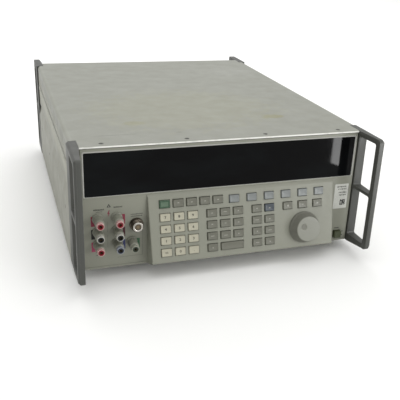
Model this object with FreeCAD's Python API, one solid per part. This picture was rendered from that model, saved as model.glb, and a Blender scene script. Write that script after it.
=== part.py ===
"""Rack-width bench calibrator with a wide display lens, a keypad housing and cast handles.

Millimetres, +Z up, +X to the right as seen from the front, front panel facing -Y.
Everything is drawn with the flat of the front panel at y = 0 and moved at the end,
so that the origin lies on the floor under the middle of the whole object.
"""
import FreeCAD
import Part
import math
import os

V = FreeCAD.Vector

# ---------------------------------------------------------------- driving sizes
WIDTH = 432.0               # over the outer faces of the handles
TOP_Z = 193.0               # top cover above the floor
FOOT_HEIGHT = 15.0          # underside of the case above the floor
LENGTH = 630.0              # front bars of the front handles to the rear handle ends
HANDLE_REACH = 52.0         # front handles stand out this far from the panel
CASE_DEPTH = 531.0          # front panel face to rear panel face
HANDLE_WIDTH = 12.6         # thickness of a handle casting across the case
BAR_TAPER = 3.6             # the front bar is thinner than the root by this much
PANEL_HALF = 201.0          # half the width inside the chassis side walls
FRONT_HALF = 202.8          # half the width of the front panel
PANEL_TOP = 189.5
PANEL_BOTTOM = 15.5
PANEL_THICK = 5.0
FLANGE_DEPTH = 24.0         # the panel's side walls reach back to the chassis
HOUSING_TILT = 13.0         # degrees that the keypad faces upwards
HOUSING_TOP = (-3.0, 116.5)     # y, z of the upper edge of the keypad face
HOUSING_BOTTOM_Z = 22.2     # lower edge of the keypad face, measured along the slope
HOUSING_LEFT = -114.9       # foot of the housing on the panel
HOUSING_RIGHT = 168.4
HOUSING_DRAFT = 0.115       # its sides lean in by this much per mm of height
HOUSING_WALL = 2.8
KEY_TOP = -2.0              # face of a key at rest, from the face of the housing
KEY_BACK = 4.6              # end of a key's plunger at rest
KEY_TRAVEL = 1.8
KEY_GAP = 0.5               # between a key and its hole, each side
KEY_W = 14.8
KEY_H = 11.0
WIDE_KEY_W = 34.5
SCREW_R = 1.6               # cover and side screws
SCREW_HOLE_R = 1.75
HEAD_R = 3.0
HEAD_SEAT_R = 3.3
HEAD_DEPTH = 1.2
KNOB_X = 119.0
KNOB_Z = 52.2
KNOB_FACE = -16.0
KNOB_R = 23.5
KNOB_FACE_R = 18.7
DIMPLE = (-7.6, 3.6)        # finger dimple from the middle of the knob
BORE_PLAY = 0.06            # radial play of a shaft in its bore

# ---------------------------------------------------------------- derived places
SHIFT_Y = HANDLE_REACH - LENGTH / 2
HALF = WIDTH / 2
HANDLE_IN = HALF - HANDLE_WIDTH
REAR_END = LENGTH - HANDLE_REACH
SIDE_X = HALF - 0.5         # outer face of the lower part of a side panel
HANDLE_BACK = 28.0          # rear edge of a front handle casting
REAR_FRONT = 507.0          # front edge of a rear handle casting
COVER_THICK = 2.5
COVER_SCREWS = [-173.0, -57.5, 57.5, 173.0]
COVER_SCREW_Y = 10.0
SIDE_SCREWS = [(73.0, 155.0), (80.0, 79.0), (314.0, 79.0), (462.0, 155.0), (462.0, 79.0)]
LENS_X = 198.5
LENS_Z = (122.5, 184.5)

# posts: name, x, z
POSTS = [
    ("output_hi", -182.0, 91.0),
    ("output_lo", -182.0, 71.9),
    ("aux", -182.0, 52.9),
    ("sense_hi", -156.1, 91.0),
    ("sense_lo", -156.1, 71.9),
    ("guard", -156.1, 52.9),
    ("ground", -136.0, 52.6),
]
POST_FRONT_Y = -27.0        # socket end of a post
POST_R = 4.0                # coloured sleeve of a post
CAP_R = 6.5
CAP_NOSE_R = 5.1
COLLAR_R = 7.6
WIDEBAND_X = -129.5
WIDEBAND_Z = 78.0
POWER_X = 186.0
POWER_Z = 27.0
POWER_SIDE = 11.6

FAN_X = -115.0
FAN_Z = 104.0
FAN_SIDE = 119.0
FAN_FRONT_Y = 489.0
FAN_BACK_Y = CASE_DEPTH - 3.0


# ---------------------------------------------------------------- key layout
def grid(left, top, columns, rows, pitch_x, pitch_z):
    """Centres of a block of keys, row by row from the top left."""
    return [
        (left + pitch_x * column, top - pitch_z * row)
        for row in range(rows)
        for column in range(columns)
    ]


ROW_Z = 87.1                # top row of the main key blocks
ROW_PITCH = 16.6
KEY_PITCH = 19.7
STRIP_Z = 105.8             # row of mode keys just under the lens
SOFT_Z = 104.9              # row of softkeys beside them
NUMBER_LEFT = -91.6
UNIT_LEFT = -24.3
UTILITY_LEFT = 43.8
SOFT_LEFT = 9.7
SOFT_PITCH = 26.65
MODE_PITCH = 19.2
EDIT_X = (92.5, 116.5, 140.6)
NUMBER_NAMES = [
    "number_key_7", "number_key_8", "number_key_9",
    "number_key_4", "number_key_5", "number_key_6",
    "number_key_1", "number_key_2", "number_key_3",
    "sign_key", "number_key_0", "decimal_key",
]
BOTTOM_ROW_Z = ROW_Z - 3 * ROW_PITCH
ENTER_X = UNIT_LEFT + 1.5 * KEY_PITCH


def key_groups():
    """Node name to the (x, z, width) of each key in that node, before the keypad is tilted."""
    groups = {}
    for name, (x, z) in zip(NUMBER_NAMES, grid(NUMBER_LEFT, ROW_Z, 3, 4, KEY_PITCH, ROW_PITCH)):
        groups[name] = [(x, z, KEY_W)]
    for index, (x, z) in enumerate(grid(SOFT_LEFT, SOFT_Z, 6, 1, SOFT_PITCH, 0)):
        groups["softkey_%d" % (index + 1)] = [(x, z, KEY_W)]
    for name, x in zip(("edit_left_key", "edit_field_key", "edit_right_key"), EDIT_X):
        groups[name] = [(x, ROW_Z, KEY_W)]
    groups["operate_key"] = [(NUMBER_LEFT, STRIP_Z, KEY_W)]
    modes = grid(NUMBER_LEFT + MODE_PITCH, STRIP_Z, 4, 1, MODE_PITCH, 0)
    groups["mode_keys"] = [(x, z, KEY_W) for x, z in modes]
    units = grid(UNIT_LEFT, ROW_Z, 3, 3, KEY_PITCH, ROW_PITCH) + [(UNIT_LEFT, BOTTOM_ROW_Z)]
    groups["unit_keys"] = [(x, z, KEY_W) for x, z in units]
    groups["enter_key"] = [(ENTER_X, BOTTOM_ROW_Z, WIDE_KEY_W)]
    utilities = grid(UTILITY_LEFT, ROW_Z, 2, 4, KEY_PITCH, ROW_PITCH)
    groups["reset_key"] = [(utilities[1][0], utilities[1][1], KEY_W)]
    groups["utility_keys"] = [(x, z, KEY_W) for x, z in utilities[:1] + utilities[2:]]
    return groups


# ---------------------------------------------------------------- shape helpers
def block(x, y, z):
    """Box from three (low, high) pairs."""
    return Part.makeBox(x[1] - x[0], y[1] - y[0], z[1] - z[0], V(x[0], y[0], z[0]))


def centred(x, z, width, height, y0, y1):
    """Box centred on (x, z) in the panel plane, from y0 to y1."""
    return block((x - width / 2, x + width / 2), (y0, y1), (z - height / 2, z + height / 2))


def rod(x, z, radius, y0, y1):
    """Cylinder along Y."""
    return Part.makeCylinder(radius, y1 - y0, V(x, y0, z), V(0, 1, 0))


def tube(x, z, outer, inner, y0, y1):
    """Hollow cylinder along Y."""
    return rod(x, z, outer, y0, y1).cut(rod(x, z, inner, y0 - 1, y1 + 1))


def cone(x, z, front_radius, back_radius, y0, y1):
    """Truncated cone along Y, from its front radius at y0 to its back radius at y1."""
    return Part.makeCone(front_radius, back_radius, y1 - y0, V(x, y0, z), V(0, 1, 0))


def post_z(x, y, radius, z0, z1):
    """Cylinder along Z."""
    return Part.makeCylinder(radius, z1 - z0, V(x, y, z0), V(0, 0, 1))


def prism(points, direction):
    """Extrude the closed polygon through the points along a direction."""
    wire = Part.makePolygon([V(*point) for point in points + points[:1]])
    return Part.Face(wire).extrude(V(*direction))


def prism_x(points_yz, x0, x1):
    return prism([(x0, y, z) for y, z in points_yz], (x1 - x0, 0, 0))


def prism_y(points_xz, y0, y1):
    return prism([(x, y0, z) for x, z in points_xz], (0, y1 - y0, 0))


def prism_z(points_xy, z0, z1):
    return prism([(x, y, z0) for x, y in points_xy], (0, 0, z1 - z0))


def join(shapes):
    return shapes[0].fuse(shapes[1:]).removeSplitter()


def mirrored(shape):
    """The same shape on the other side of the case."""
    return shape.mirror(V(0, 0, 0), V(1, 0, 0))


def both_sides(shape):
    return [shape, mirrored(shape)]


def edges_where(shape, test):
    return [edge for edge in shape.Edges if test(edge.BoundBox, edge)]


def runs_along(box, axis):
    """True for an edge whose box is long along one axis only."""
    sizes = {"x": box.XLength, "y": box.YLength, "z": box.ZLength}
    rest = [sizes[key] for key in sizes if key != axis]
    return sizes[axis] > 1.0 and max(rest) < 0.01


# ---------------------------------------------------------------- case
def chassis():
    """Folded aluminium tray: side walls, floor, front frame and two card-cage walls."""
    wall_in = PANEL_HALF
    wall_out = HANDLE_IN
    inside = (-wall_in, wall_in)
    back = CASE_DEPTH - 3.0
    side = block((wall_in, wall_out), (FLANGE_DEPTH, back), (17.0, 187.0))
    floor = block(inside, (FLANGE_DEPTH, back), (19.0, 20.5))
    frame = block(inside, (FLANGE_DEPTH, FLANGE_DEPTH + 2.0), (20.5, 187.0))
    frame = frame.cut(block((-192, 192), (20, 30), (26, 181)))
    frame = frame.cut(block((POWER_X - 9, POWER_X + 9), (20, 30), (20, 40)))
    walls = []
    for y in (92.0, 384.0):
        wall = block(inside, (y, y + 1.5), (20.5, 165.0))
        walls.append(wall.cut(block((-60, 60), (y - 1, y + 3), (140, 170))))
    shelf = block(inside, (92.0, 385.5), (165.0, 166.5))
    shelf = shelf.cut(block((-185, 185), (100, 378), (160, 170)))
    return join(both_sides(side) + [floor, frame] + walls + [shelf])


def side_panel():
    """Right-hand side panel: a shallow lengthwise channel and two rails to the chassis."""
    low, groove_low, groove_high, high = 17.2, 97.0, 120.0, 171.5
    upper_x = SIDE_X - 2.0
    deep_x = SIDE_X - 4.5
    skin = 2.4
    outline = [
        (SIDE_X, low),
        (SIDE_X, groove_low),
        (deep_x, groove_high - 3.0),
        (upper_x, groove_high),
        (upper_x, high),
        (upper_x - skin, high),
        (upper_x - skin, groove_high + 1.0),
        (deep_x - skin, groove_high - 2.0),
        (SIDE_X - skin, groove_low - 0.6),
        (SIDE_X - skin, low),
    ]
    start, end = HANDLE_BACK + 0.5, REAR_FRONT - 0.5
    skin_solid = prism_y(outline, start, end)
    rails = []
    for z in (75.0, 151.0):
        rails.append(block((HANDLE_IN, SIDE_X - 1.0), (start + 10, end - 10), (z, z + 8)))
    solid = join([skin_solid] + rails)
    for y, z in SIDE_SCREWS:
        solid = solid.cut(side_screw_hole(y, z))
    return solid


def side_screw_hole(y, z):
    face = SIDE_X if z < 100 else SIDE_X - 2.0
    shank = Part.makeCylinder(SCREW_HOLE_R, 15, V(face - 14, y, z), V(1, 0, 0))
    head = Part.makeCylinder(HEAD_SEAT_R, 3, V(face - HEAD_DEPTH, y, z), V(1, 0, 0))
    return shank.fuse(head)


def top_cover():
    """Top cover with rounded side bends and a hemmed front edge between the handles."""
    outer = SIDE_X - 2.0
    inner = outer - 2.0
    bend = 6.0
    body = block((-outer, outer), (HANDLE_BACK + 0.5, REAR_FRONT - 0.5), (172.0, TOP_Z))
    corners = edges_where(body, lambda box, edge: runs_along(box, "y") and box.ZMin > TOP_Z - 0.1)
    body = body.makeFillet(bend, corners)
    hollow = block((-inner, inner), (0, CASE_DEPTH), (171.0, TOP_Z - COVER_THICK))
    hollow = hollow.makeFillet(
        bend - 2.0, edges_where(hollow, lambda box, edge: runs_along(box, "y") and box.ZMin > 180)
    )
    body = body.cut(hollow)
    ends = HANDLE_IN - 0.5
    front = block((-ends, ends), (-0.8, HANDLE_BACK + 0.6), (TOP_Z - COVER_THICK, TOP_Z))
    front = front.makeFillet(
        2.2, edges_where(front, lambda box, edge: runs_along(box, "x") and box.YMin < 0 and box.ZMin > 192)
    )
    rear = block((-ends, ends), (REAR_FRONT - 0.6, CASE_DEPTH), (TOP_Z - COVER_THICK, TOP_Z))
    cover = join([body, front, rear])
    for x in COVER_SCREWS:
        cover = cover.cut(post_z(x, COVER_SCREW_Y, SCREW_HOLE_R, 180, 200))
        cover = cover.cut(post_z(x, COVER_SCREW_Y, HEAD_SEAT_R, TOP_Z - HEAD_DEPTH, 200))
    return cover


def bottom_cover():
    """Flat bottom sheet with two rows of cooling slots."""
    level = (FOOT_HEIGHT, FOOT_HEIGHT + 2.0)
    ends = HANDLE_IN - 0.5
    sheet = block((-SIDE_X, SIDE_X), (HANDLE_BACK + 0.5, REAR_FRONT - 0.5), level)
    front = block((-ends, ends), (FLANGE_DEPTH + 0.3, HANDLE_BACK + 0.6), level)
    cover = join([sheet, front])
    slots = []
    for row_y in (150.0, 300.0):
        for index in range(12):
            x = -110.0 + 20.0 * index
            slots.append(block((x - 2, x + 2), (row_y, row_y + 60), (10, 20)))
    return cover.cut(slots[0].fuse(slots[1:]))


def feet():
    """Four moulded feet with a hollow underside and a screw boss."""
    shapes = []
    for x in (-165.0, 165.0):
        for y in (58.0, 476.0):
            foot = Part.makeCone(12.0, 15.0, FOOT_HEIGHT, V(x, y, 0), V(0, 0, 1))
            foot = foot.cut(post_z(x, y, 5.0, -1, 6.0))
            shapes.append(foot)
    return Part.makeCompound(shapes)


# ---------------------------------------------------------------- handles
def front_handle():
    """Right-hand front handle: one casting with an upper and a lower finger opening."""
    front = -HANDLE_REACH
    outline = [
        (HANDLE_BACK, FOOT_HEIGHT),
        (HANDLE_BACK, TOP_Z),
        (front, TOP_Z),
        (front, FOOT_HEIGHT + 6.0),
        (-4.0, FOOT_HEIGHT),
    ]
    solid = prism_x(outline, HANDLE_IN, HALF)
    noses = edges_where(solid, lambda box, edge: runs_along(box, "x") and box.YMin < front + 0.1)
    solid = solid.makeFillet(6.0, noses)
    rim = edges_where(solid, lambda box, edge: box.XMin > HALF - 0.01 and box.YMin < HANDLE_BACK - 1.0)
    solid = solid.makeChamfer(3.0, rim)
    taper = prism_z(
        [(HANDLE_IN - 1.0, -3.0), (HANDLE_IN, -3.0), (HANDLE_IN + BAR_TAPER, front + 10.0),
         (HANDLE_IN + BAR_TAPER, front - 1.0), (HANDLE_IN - 1.0, front - 1.0)],
        0.0, TOP_Z + 1.0,
    )
    solid = solid.cut(taper)
    for z0, z1 in ((108.4, 185.0), (27.0, 103.5)):
        window = block((HANDLE_IN - 1, HALF + 1), (front + 10.0, -3.0), (z0, z1))
        corners = edges_where(window, lambda box, edge: runs_along(box, "x"))
        solid = solid.cut(window.makeFillet(3.0, corners))
    return solid


def rear_handle():
    """Right-hand rear corner casting: tapers to a bar behind the case, with two openings."""
    rear_in = HALF - 10.0
    outline = [
        (HALF, REAR_FRONT),
        (HALF, REAR_END),
        (rear_in, REAR_END),
        (HANDLE_IN, CASE_DEPTH + 8.0),
        (HANDLE_IN, REAR_FRONT),
    ]
    solid = prism_z(outline, FOOT_HEIGHT, TOP_Z)
    noses = edges_where(solid, lambda box, edge: box.YMin > REAR_END - 0.1 and runs_along(box, "x"))
    solid = solid.makeFillet(6.0, noses)
    for z0, z1 in ((108.4, 183.0), (27.0, 103.5)):
        window = block((HANDLE_IN - 1, HALF + 1), (CASE_DEPTH + 6.0, REAR_END - 9.0), (z0, z1))
        corners = edges_where(window, lambda box, edge: runs_along(box, "x"))
        solid = solid.cut(window.makeFillet(3.0, corners))
    return solid


# ---------------------------------------------------------------- front panel
def tilted(shape):
    """Swing a shape drawn for an upright housing face at y = 0 onto the sloping face."""
    copy = shape.copy()
    copy.rotate(V(0, 0, HOUSING_TOP[1]), V(1, 0, 0), -HOUSING_TILT)
    copy.translate(V(0, HOUSING_TOP[0], 0))
    return copy


def wedge(sides, upper, lower, foot_y, foot_z):
    """Solid between a foot outline at foot_y and the sloping edges upper and lower (y, z)."""
    wires = []
    for places in ((foot_y, foot_z[0], foot_y, foot_z[1]), lower + upper):
        low_y, low_z, high_y, high_z = places
        corners = []
        for y, z, side in ((low_y, low_z, 0), (low_y, low_z, 1), (high_y, high_z, 1), (high_y, high_z, 0)):
            lean = HOUSING_DRAFT * (0.5 - y)
            corners.append(V(sides[side] + (lean if side == 0 else -lean), y, z))
        wires.append(Part.makePolygon(corners + corners[:1]))
    return Part.makeLoft(wires, True, True)


def slope_point(down, depth):
    """The (y, z) that lies a distance down the keypad face and a depth behind it."""
    tilt = math.radians(HOUSING_TILT)
    y = HOUSING_TOP[0] - down * math.sin(tilt) + depth * math.cos(tilt)
    z = HOUSING_TOP[1] - down * math.cos(tilt) - depth * math.sin(tilt)
    return (y, z)


def key_openings():
    """Holes in the housing face, one per key."""
    holes = []
    height = KEY_H + 2 * KEY_GAP
    for keys in key_groups().values():
        for x, z, width in keys:
            holes.append(centred(x, z, width + 2 * KEY_GAP, height, -1, HOUSING_WALL + 1))
    return holes


def front_panel():
    """Moulded front panel: lens frame, raised keypad housing and walls back to the chassis."""
    half = FRONT_HALF
    outer = block((-half, half), (0, FLANGE_DEPTH - 0.4), (PANEL_BOTTOM, PANEL_TOP))
    upright = edges_where(outer, lambda box, edge: runs_along(box, "z") and box.YMax < 1)
    outer = outer.makeChamfer(1.2, upright)
    inside = block(
        (-half + 2, half - 2), (PANEL_THICK, FLANGE_DEPTH + 1), (PANEL_BOTTOM + 2, PANEL_TOP - 2)
    )
    drop = HOUSING_TOP[1] - HOUSING_BOTTOM_Z
    sides = (HOUSING_LEFT, HOUSING_RIGHT)
    foot_z = (PANEL_BOTTOM, 121.0)
    housing = wedge(sides, slope_point(0, 0), slope_point(drop, 0), 0.5, foot_z)
    rim = edges_where(housing, lambda box, edge: box.YMax < HOUSING_TOP[0] + 0.1)
    housing = housing.makeFillet(1.5, rim)
    inner_sides = (HOUSING_LEFT + 2.6, HOUSING_RIGHT - 2.6)
    inner_upper = slope_point(1.6, HOUSING_WALL)
    inner_lower = slope_point(drop - 2.4, HOUSING_WALL)
    cavity = wedge(inner_sides, inner_upper, inner_lower, PANEL_THICK + 0.1, (PANEL_BOTTOM + 3, 118.5))
    solid = join([outer.cut(inside), housing]).cut(cavity)
    lens_seat = block((-LENS_X, LENS_X), (-1, 3.6), LENS_Z)
    lens_sight = block((-LENS_X + 4, LENS_X - 4), (-1, 10), (LENS_Z[0] + 4, LENS_Z[1] - 4))
    solid = solid.cut(lens_seat).cut(lens_sight)
    holes = key_openings()
    solid = solid.cut(tilted(holes[0].fuse(holes[1:])))
    solid = solid.cut(tilted(rod(KNOB_X, KNOB_Z, 4.8, -1, 9)))
    solid = solid.cut(centred(POWER_X, POWER_Z, POWER_SIDE + 1.2, POWER_SIDE + 1.2, -1, PANEL_THICK + 1))
    for _, x, z in POSTS:
        solid = solid.cut(rod(x, z, 3.4, -1, PANEL_THICK + 1))
    solid = solid.cut(rod(WIDEBAND_X, WIDEBAND_Z, 6.4, -1, PANEL_THICK + 1))
    for x in COVER_SCREWS:
        solid = solid.cut(post_z(x, COVER_SCREW_Y, SCREW_HOLE_R, PANEL_TOP - 3, PANEL_TOP + 1))
    for x0, x1 in ((-half - 1, HOUSING_LEFT), (HOUSING_RIGHT, half + 1)):
        solid = solid.cut(block((x0, x1), (-1, 0.6), (18.4, 19.2)))
    return solid


def display_lens():
    gap = 0.3
    return block(
        (-LENS_X + gap, LENS_X - gap), (0.4, 3.6), (LENS_Z[0] + gap, LENS_Z[1] - gap)
    )


def display_module():
    """Two vacuum-fluorescent tubes on one board behind the lens."""
    board = block((-188, 188), (20.0, 21.6), (121.0, 182.0))
    tubes = [block(ends, (11.0, 19.0), (132.0, 174.0)) for ends in ((-184, -24), (4, 184))]
    pads = [block((x, x + 8), (18.5, 20.5), (135, 171)) for x in (-180.0, -40.0, 10.0, 170.0)]
    return join([board] + tubes + pads)


# ---------------------------------------------------------------- controls
def key(x, z, width):
    """One key: a bevelled cap, a retaining flange behind the panel and a plunger."""
    cap = centred(x, z, width, KEY_H, KEY_TOP, 3.5)
    rim = edges_where(cap, lambda box, edge: box.YMax < KEY_TOP + 0.01)
    cap = cap.makeChamfer(0.6, rim)
    flange = centred(x, z, width + 1.8, KEY_H + 1.8, 3.0, 4.0)
    plunger = centred(x, z, 4.0, 4.0, 4.0, KEY_BACK)
    return tilted(join([cap, flange, plunger]))


def keyboard_board():
    """Keyboard circuit board with one dome switch under each key and a gap for the knob."""
    dome = 1.4
    board_y = KEY_BACK + KEY_TRAVEL + 0.6 + dome
    board = block((-108, 160), (board_y, board_y + 1.6), (27, 113))
    board = board.cut(centred(KNOB_X, KNOB_Z, 40, 38, 0, 20))
    switches = []
    for keys in key_groups().values():
        for x, z, _ in keys:
            switches.append(centred(x, z, 6.0, 6.0, board_y - dome, board_y))
    return tilted(join([board] + switches))


def knob_encoder():
    """Rotary encoder on the housing wall, with its threaded bushing and nut."""
    body = centred(KNOB_X, KNOB_Z, 26, 26, HOUSING_WALL, 17.0)
    bushing = rod(KNOB_X, KNOB_Z, 4.5, -5.0, HOUSING_WALL)
    nut = centred(KNOB_X, KNOB_Z, 11.0, 11.0, -2.2, 0.0)
    bore = rod(KNOB_X, KNOB_Z, 3.0 + BORE_PLAY, -6, 11.0)
    return tilted(join([body, bushing, nut]).cut(bore))


def edit_knob():
    """Large spin knob: tapered skirt, flat face with a finger dimple, shaft in the encoder."""
    skirt_back = -0.8
    rim = rod(KNOB_X, KNOB_Z, KNOB_R, skirt_back - 2.0, skirt_back)
    skirt = cone(KNOB_X, KNOB_Z, KNOB_FACE_R, KNOB_R - 0.9, KNOB_FACE, skirt_back - 2.0)
    face_edge = edges_where(skirt, lambda box, edge: box.YMax < KNOB_FACE + 0.01)
    skirt = skirt.makeFillet(0.9, face_edge)
    hollow = rod(KNOB_X, KNOB_Z, 16.0, KNOB_FACE + 7.0, skirt_back + 1)
    dimple_centre = V(KNOB_X + DIMPLE[0], KNOB_FACE - 4.4, KNOB_Z + DIMPLE[1])
    shaft = rod(KNOB_X, KNOB_Z, 3.0, KNOB_FACE + 5.0, 9.0)
    solid = join([join([rim, skirt]).cut(hollow), shaft])
    return tilted(solid.cut(Part.makeSphere(6.6, dimple_centre)))


def power_switch():
    """Latching mains switch body standing on the chassis floor, with two solder tags."""
    body = centred(POWER_X, POWER_Z, 14.0, 13.0, 12.0, 36.0)
    body = body.cut(centred(POWER_X, POWER_Z, 8.0, 8.0, 11.0, 22.0))
    tags = [centred(POWER_X + dx, POWER_Z, 1.0, 5.0, 36.0, 43.0) for dx in (-4.0, 4.0)]
    return join([body] + tags)


def power_button():
    cap = centred(POWER_X, POWER_Z, POWER_SIDE, POWER_SIDE, -5.5, 6.0)
    rim = edges_where(cap, lambda box, edge: box.YMax < -5.4)
    cap = cap.makeChamfer(0.8, rim)
    stem = centred(POWER_X, POWER_Z, 6.4, 6.4, 6.0, 15.0)
    return join([cap, stem])


# ---------------------------------------------------------------- terminals
def post_body(x, z):
    """Fixed part of a binding post: collar, sleeve with a 4 mm socket, stud and back nut."""
    collar = rod(x, z, COLLAR_R, -3.0, 0.0)
    sleeve = rod(x, z, POST_R, POST_FRONT_Y, -3.0)
    stud = rod(x, z, 3.1, 0.0, 16.0)
    nut = centred(x, z, 10.0, 10.0, PANEL_THICK, PANEL_THICK + 4.0)
    socket = rod(x, z, 2.0, POST_FRONT_Y - 1, -7.0)
    return join([collar, sleeve, stud, nut]).cut(socket)


def post_cap(x, z):
    """Captive clamping cap of a post: grey barrel and a slimmer nose around the sleeve."""
    barrel = rod(x, z, CAP_R, -20.0, -3.6)
    ends = edges_where(barrel, lambda box, edge: box.YMax < -19.9)
    barrel = barrel.makeChamfer(1.2, ends)
    nose = rod(x, z, CAP_NOSE_R, POST_FRONT_Y + 0.6, -20.0)
    return join([barrel, nose]).cut(rod(x, z, POST_R + 0.09, -40, 0))


def wideband_connector():
    """Panel-mount coaxial jack with a threaded shell and a centre contact."""
    x, z = WIDEBAND_X, WIDEBAND_Z
    flange = rod(x, z, 9.6, -2.2, 0.0)
    shell = rod(x, z, 7.9, -10.5, -2.2)
    lip = cone(x, z, 6.2, 7.4, -12.0, -10.5)
    stem = rod(x, z, 6.1, 0.0, 14.0)
    nut = rod(x, z, 9.6, PANEL_THICK, PANEL_THICK + 3.0)
    bore = rod(x, z, 4.2, -13.0, -3.0)
    contact = rod(x, z, 1.5, -8.0, -2.5)
    return join([join([flange, shell, lip, stem, nut]).cut(bore), contact])


# ---------------------------------------------------------------- inside and rear
def circuit_boards():
    """Motherboard with plug-in cards in the card cage, each with a shield can."""
    mother = block((-190, 190), (96, 382), (26.0, 27.6))
    shapes = [mother]
    for index in range(10):
        y = 112.0 + 26.0 * index
        card = block((-182, 182), (y, y + 1.6), (27.6, 150.0))
        can = block((-170, -40), (y + 1.6, y + 11.6), (50, 135))
        sink = block((40, 150), (y + 1.6, y + 9.0), (60, 120))
        shapes.append(join([card, can, sink]))
    stand_offs = [
        post_z(x, y, 3.0, 20.5, 26.0) for x in (-180.0, 180.0) for y in (105.0, 374.0)
    ]
    return join(shapes + stand_offs)


def power_transformer():
    """Laminated core with two windings on a mounting plate."""
    plate = block((60, 170), (396, 476), (20.5, 23.0))
    core = block((75, 155), (410, 462), (23.0, 103.0)).cut(
        block((88, 105), (400, 470), (36, 90)).fuse(block((125, 142), (400, 470), (36, 90)))
    )
    winding = block((89, 141), (402, 470), (37.0, 89.0)).cut(block((105, 125), (400, 472), (36, 90)))
    return join([plate, core, winding, block((105, 125), (402, 470), (37.0, 89.0))])


def fan_housing():
    """Square fan frame with struts, motor seat, axle pin and a finger guard outside."""
    front, back = FAN_FRONT_Y, FAN_BACK_Y
    frame = centred(FAN_X, FAN_Z, FAN_SIDE, FAN_SIDE, front, back)
    frame = frame.cut(rod(FAN_X, FAN_Z, 55.5, front - 1, back + 1))
    seat = rod(FAN_X, FAN_Z, 20.0, front, front + 3.0)
    axle = rod(FAN_X, FAN_Z, 2.0, front + 2.0, front + 24.0)
    struts = []
    for turn in range(3):
        arm = block((FAN_X - 3, FAN_X + 3), (front, front + 3.0), (FAN_Z + 10, FAN_Z + 57))
        arm.rotate(V(FAN_X, 0, FAN_Z), V(0, 1, 0), 120.0 * turn)
        struts.append(arm)
    return join([frame, seat, axle] + struts)


def fan_rotor():
    """Hub with seven pitched blades."""
    start, end = FAN_FRONT_Y + 6.0, FAN_FRONT_Y + 32.0
    hub = rod(FAN_X, FAN_Z, 21.0, start, end)
    blades = []
    for turn in range(7):
        blade = block((-1.0, 1.0), (-13.5, 13.5), (18.0, 52.5))
        blade.rotate(V(0, 0, 0), V(0, 0, 1), 38.0)
        blade.translate(V(FAN_X, (start + end) / 2, FAN_Z))
        blade.rotate(V(FAN_X, 0, FAN_Z), V(0, 1, 0), 360.0 / 7 * turn)
        blades.append(blade)
    bore = rod(FAN_X, FAN_Z, 2.0 + BORE_PLAY, start - 1, FAN_FRONT_Y + 25.0)
    return join([hub] + blades).cut(bore)


def fan_guard():
    """Concentric flat rings on four spokes, screwed to the outside of the rear panel."""
    back = CASE_DEPTH
    rings = []
    for radius in (18.0, 30.0, 42.0, 54.0):
        rings.append(tube(FAN_X, FAN_Z, radius, radius - 2.0, back + 0.6, back + 2.4))
    spokes = []
    for turn in range(4):
        spoke = block((FAN_X - 1.2, FAN_X + 1.2), (back, back + 2.4), (FAN_Z + 16, FAN_Z + 74))
        spoke.rotate(V(FAN_X, 0, FAN_Z), V(0, 1, 0), 45.0 + 90.0 * turn)
        spokes.append(spoke)
    return join(rings + spokes)


REAR_BNC = [(20.0, 60.0), (48.0, 60.0), (76.0, 60.0)]
INLET = (150.0, 52.0, 48.0, 27.0)           # x, z, width, height
BUS = (60.0, 140.0, 66.0, 16.0)
SERIAL = (150.0, 140.0, 34.0, 13.0)
GROUND_STUD = (-20.0, 40.0)


def rear_panel():
    """Rear panel sheet with the fan opening and the connector cut-outs."""
    front = CASE_DEPTH - 3.0
    sheet = block((-PANEL_HALF, PANEL_HALF), (front, CASE_DEPTH), (17.2, 187.0))
    cuts = [rod(FAN_X, FAN_Z, 56.5, front - 1, CASE_DEPTH + 1)]
    for x, z, width, height in (INLET, BUS, SERIAL):
        cuts.append(centred(x, z, width - 4.0, height - 4.0, front - 1, CASE_DEPTH + 1))
    for x, z in REAR_BNC:
        cuts.append(rod(x, z, 4.4, front - 1, CASE_DEPTH + 1))
    cuts.append(rod(GROUND_STUD[0], GROUND_STUD[1], 3.1, front - 1, CASE_DEPTH + 1))
    return sheet.cut(cuts[0].fuse(cuts[1:]))


def mains_inlet():
    """Recessed three-pin mains inlet with a flange outside the panel."""
    x, z, width, height = INLET
    flange = centred(x, z, width, height, CASE_DEPTH, CASE_DEPTH + 2.5)
    shell = centred(x, z, width - 5.0, height - 5.0, CASE_DEPTH - 24.0, CASE_DEPTH + 0.5)
    well = centred(x, z, 25.0, 17.0, CASE_DEPTH - 15.0, CASE_DEPTH + 4)
    pins = [
        centred(x + dx, z + dz, 2.0, 4.0, CASE_DEPTH - 16.0, CASE_DEPTH - 1.0)
        for dx, dz in ((-7.0, -2.0), (0.0, 2.0), (7.0, -2.0))
    ]
    return join([join([flange, shell]).cut(well)] + pins)


def ribbon_socket(place, depth):
    """Rectangular multi-way connector with a raised contact block inside its shell."""
    x, z, width, height = place
    flange = centred(x, z, width, height, CASE_DEPTH, CASE_DEPTH + 1.5)
    shell = centred(x, z, width - 14.0, height - 4.4, CASE_DEPTH - 8.0, CASE_DEPTH + depth)
    well = centred(x, z, width - 17.0, height - 7.0, CASE_DEPTH + 1.0, CASE_DEPTH + depth + 1)
    tongue = centred(x, z, width - 22.0, 2.4, CASE_DEPTH, CASE_DEPTH + depth - 1.5)
    return join([join([flange, shell]).cut(well), tongue])


def coax_jack(x, z):
    """Rear coaxial jack: shell, flange, back nut and centre contact."""
    shell = rod(x, z, 4.8, CASE_DEPTH + 1.5, CASE_DEPTH + 12.0)
    flange = rod(x, z, 7.0, CASE_DEPTH, CASE_DEPTH + 1.5)
    stem = rod(x, z, 4.0, CASE_DEPTH - 10.0, CASE_DEPTH)
    nut = rod(x, z, 7.0, CASE_DEPTH - 6.0, CASE_DEPTH - 3.0)
    bore = rod(x, z, 3.4, CASE_DEPTH + 3.0, CASE_DEPTH + 13.0)
    contact = rod(x, z, 1.0, CASE_DEPTH + 2.0, CASE_DEPTH + 9.0)
    return join([join([shell, flange, stem, nut]).cut(bore), contact])


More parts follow.
